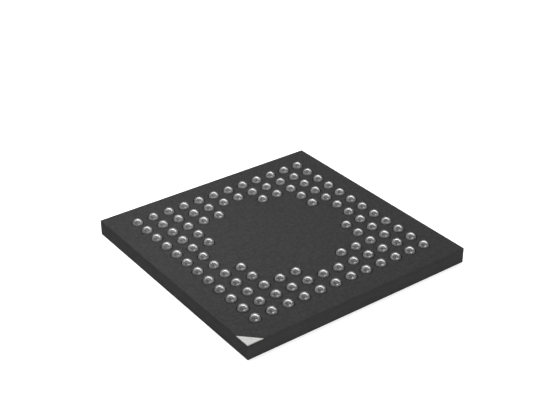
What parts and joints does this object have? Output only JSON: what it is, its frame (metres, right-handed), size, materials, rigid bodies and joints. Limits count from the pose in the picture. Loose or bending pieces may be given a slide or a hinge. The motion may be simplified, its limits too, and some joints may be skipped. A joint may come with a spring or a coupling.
{
  "type": "ball grid array chip",
  "caption": "Square black moulded chip package, lying with its field of solder balls up, a metal corner triangle marking pin one and its die, wires and fingers inside.",
  "frame": {"origin": "centre of the moulded, marked face that the chip lies on", "axes": "+Z out of the ball side; +X along the ball columns 1 to 12 and +Y along the ball rows A to M, so ball A1 and the metal triangle are at low X and low Y"},
  "size_m": [0.007, 0.007, 0.0006],
  "materials": {
    "mould_compound": "fine satin, moulded epoxy with silica filler, sawn at the sides",
    "solder_resist": "smooth dark solder resist on laminate",
    "solder": "bright reflowed tin, silver and copper solder",
    "bare_pad_metal": "bare plated copper, pale grey and flat",
    "marking_white": "flat white mark",
    "silicon": "polished silicon",
    "attach_film": "thin adhesive film",
    "gold_plate": "soft gold plating over nickel and copper",
    "gold_wire": "drawn gold wire"
  },
  "bodies": {
    "root": {"mould_cap": "mould_compound", "substrate": "solder_resist", "pin_one_triangle": "bare_pad_metal", "pin_one_dot": "marking_white", "die": "silicon", "die_attach_film": "attach_film", "bond_fingers_right": "gold_plate", "bond_fingers_rear": "gold_plate", "bond_fingers_left": "gold_plate", "bond_fingers_front": "gold_plate", "bond_wires_right": "gold_wire", "bond_wires_rear": "gold_wire", "bond_wires_left": "gold_wire", "bond_wires_front": "gold_wire", "solder_balls_row_a": "solder", "solder_balls_row_b": "solder", "solder_balls_row_c": "solder", "solder_balls_row_d": "solder", "solder_balls_row_e": "solder", "solder_balls_row_f": "solder", "solder_balls_row_g": "solder", "solder_balls_row_h": "solder", "solder_balls_row_j": "solder", "solder_balls_row_k": "solder", "solder_balls_row_l": "solder", "solder_balls_row_m": "solder"}
  },
  "joints": []
}
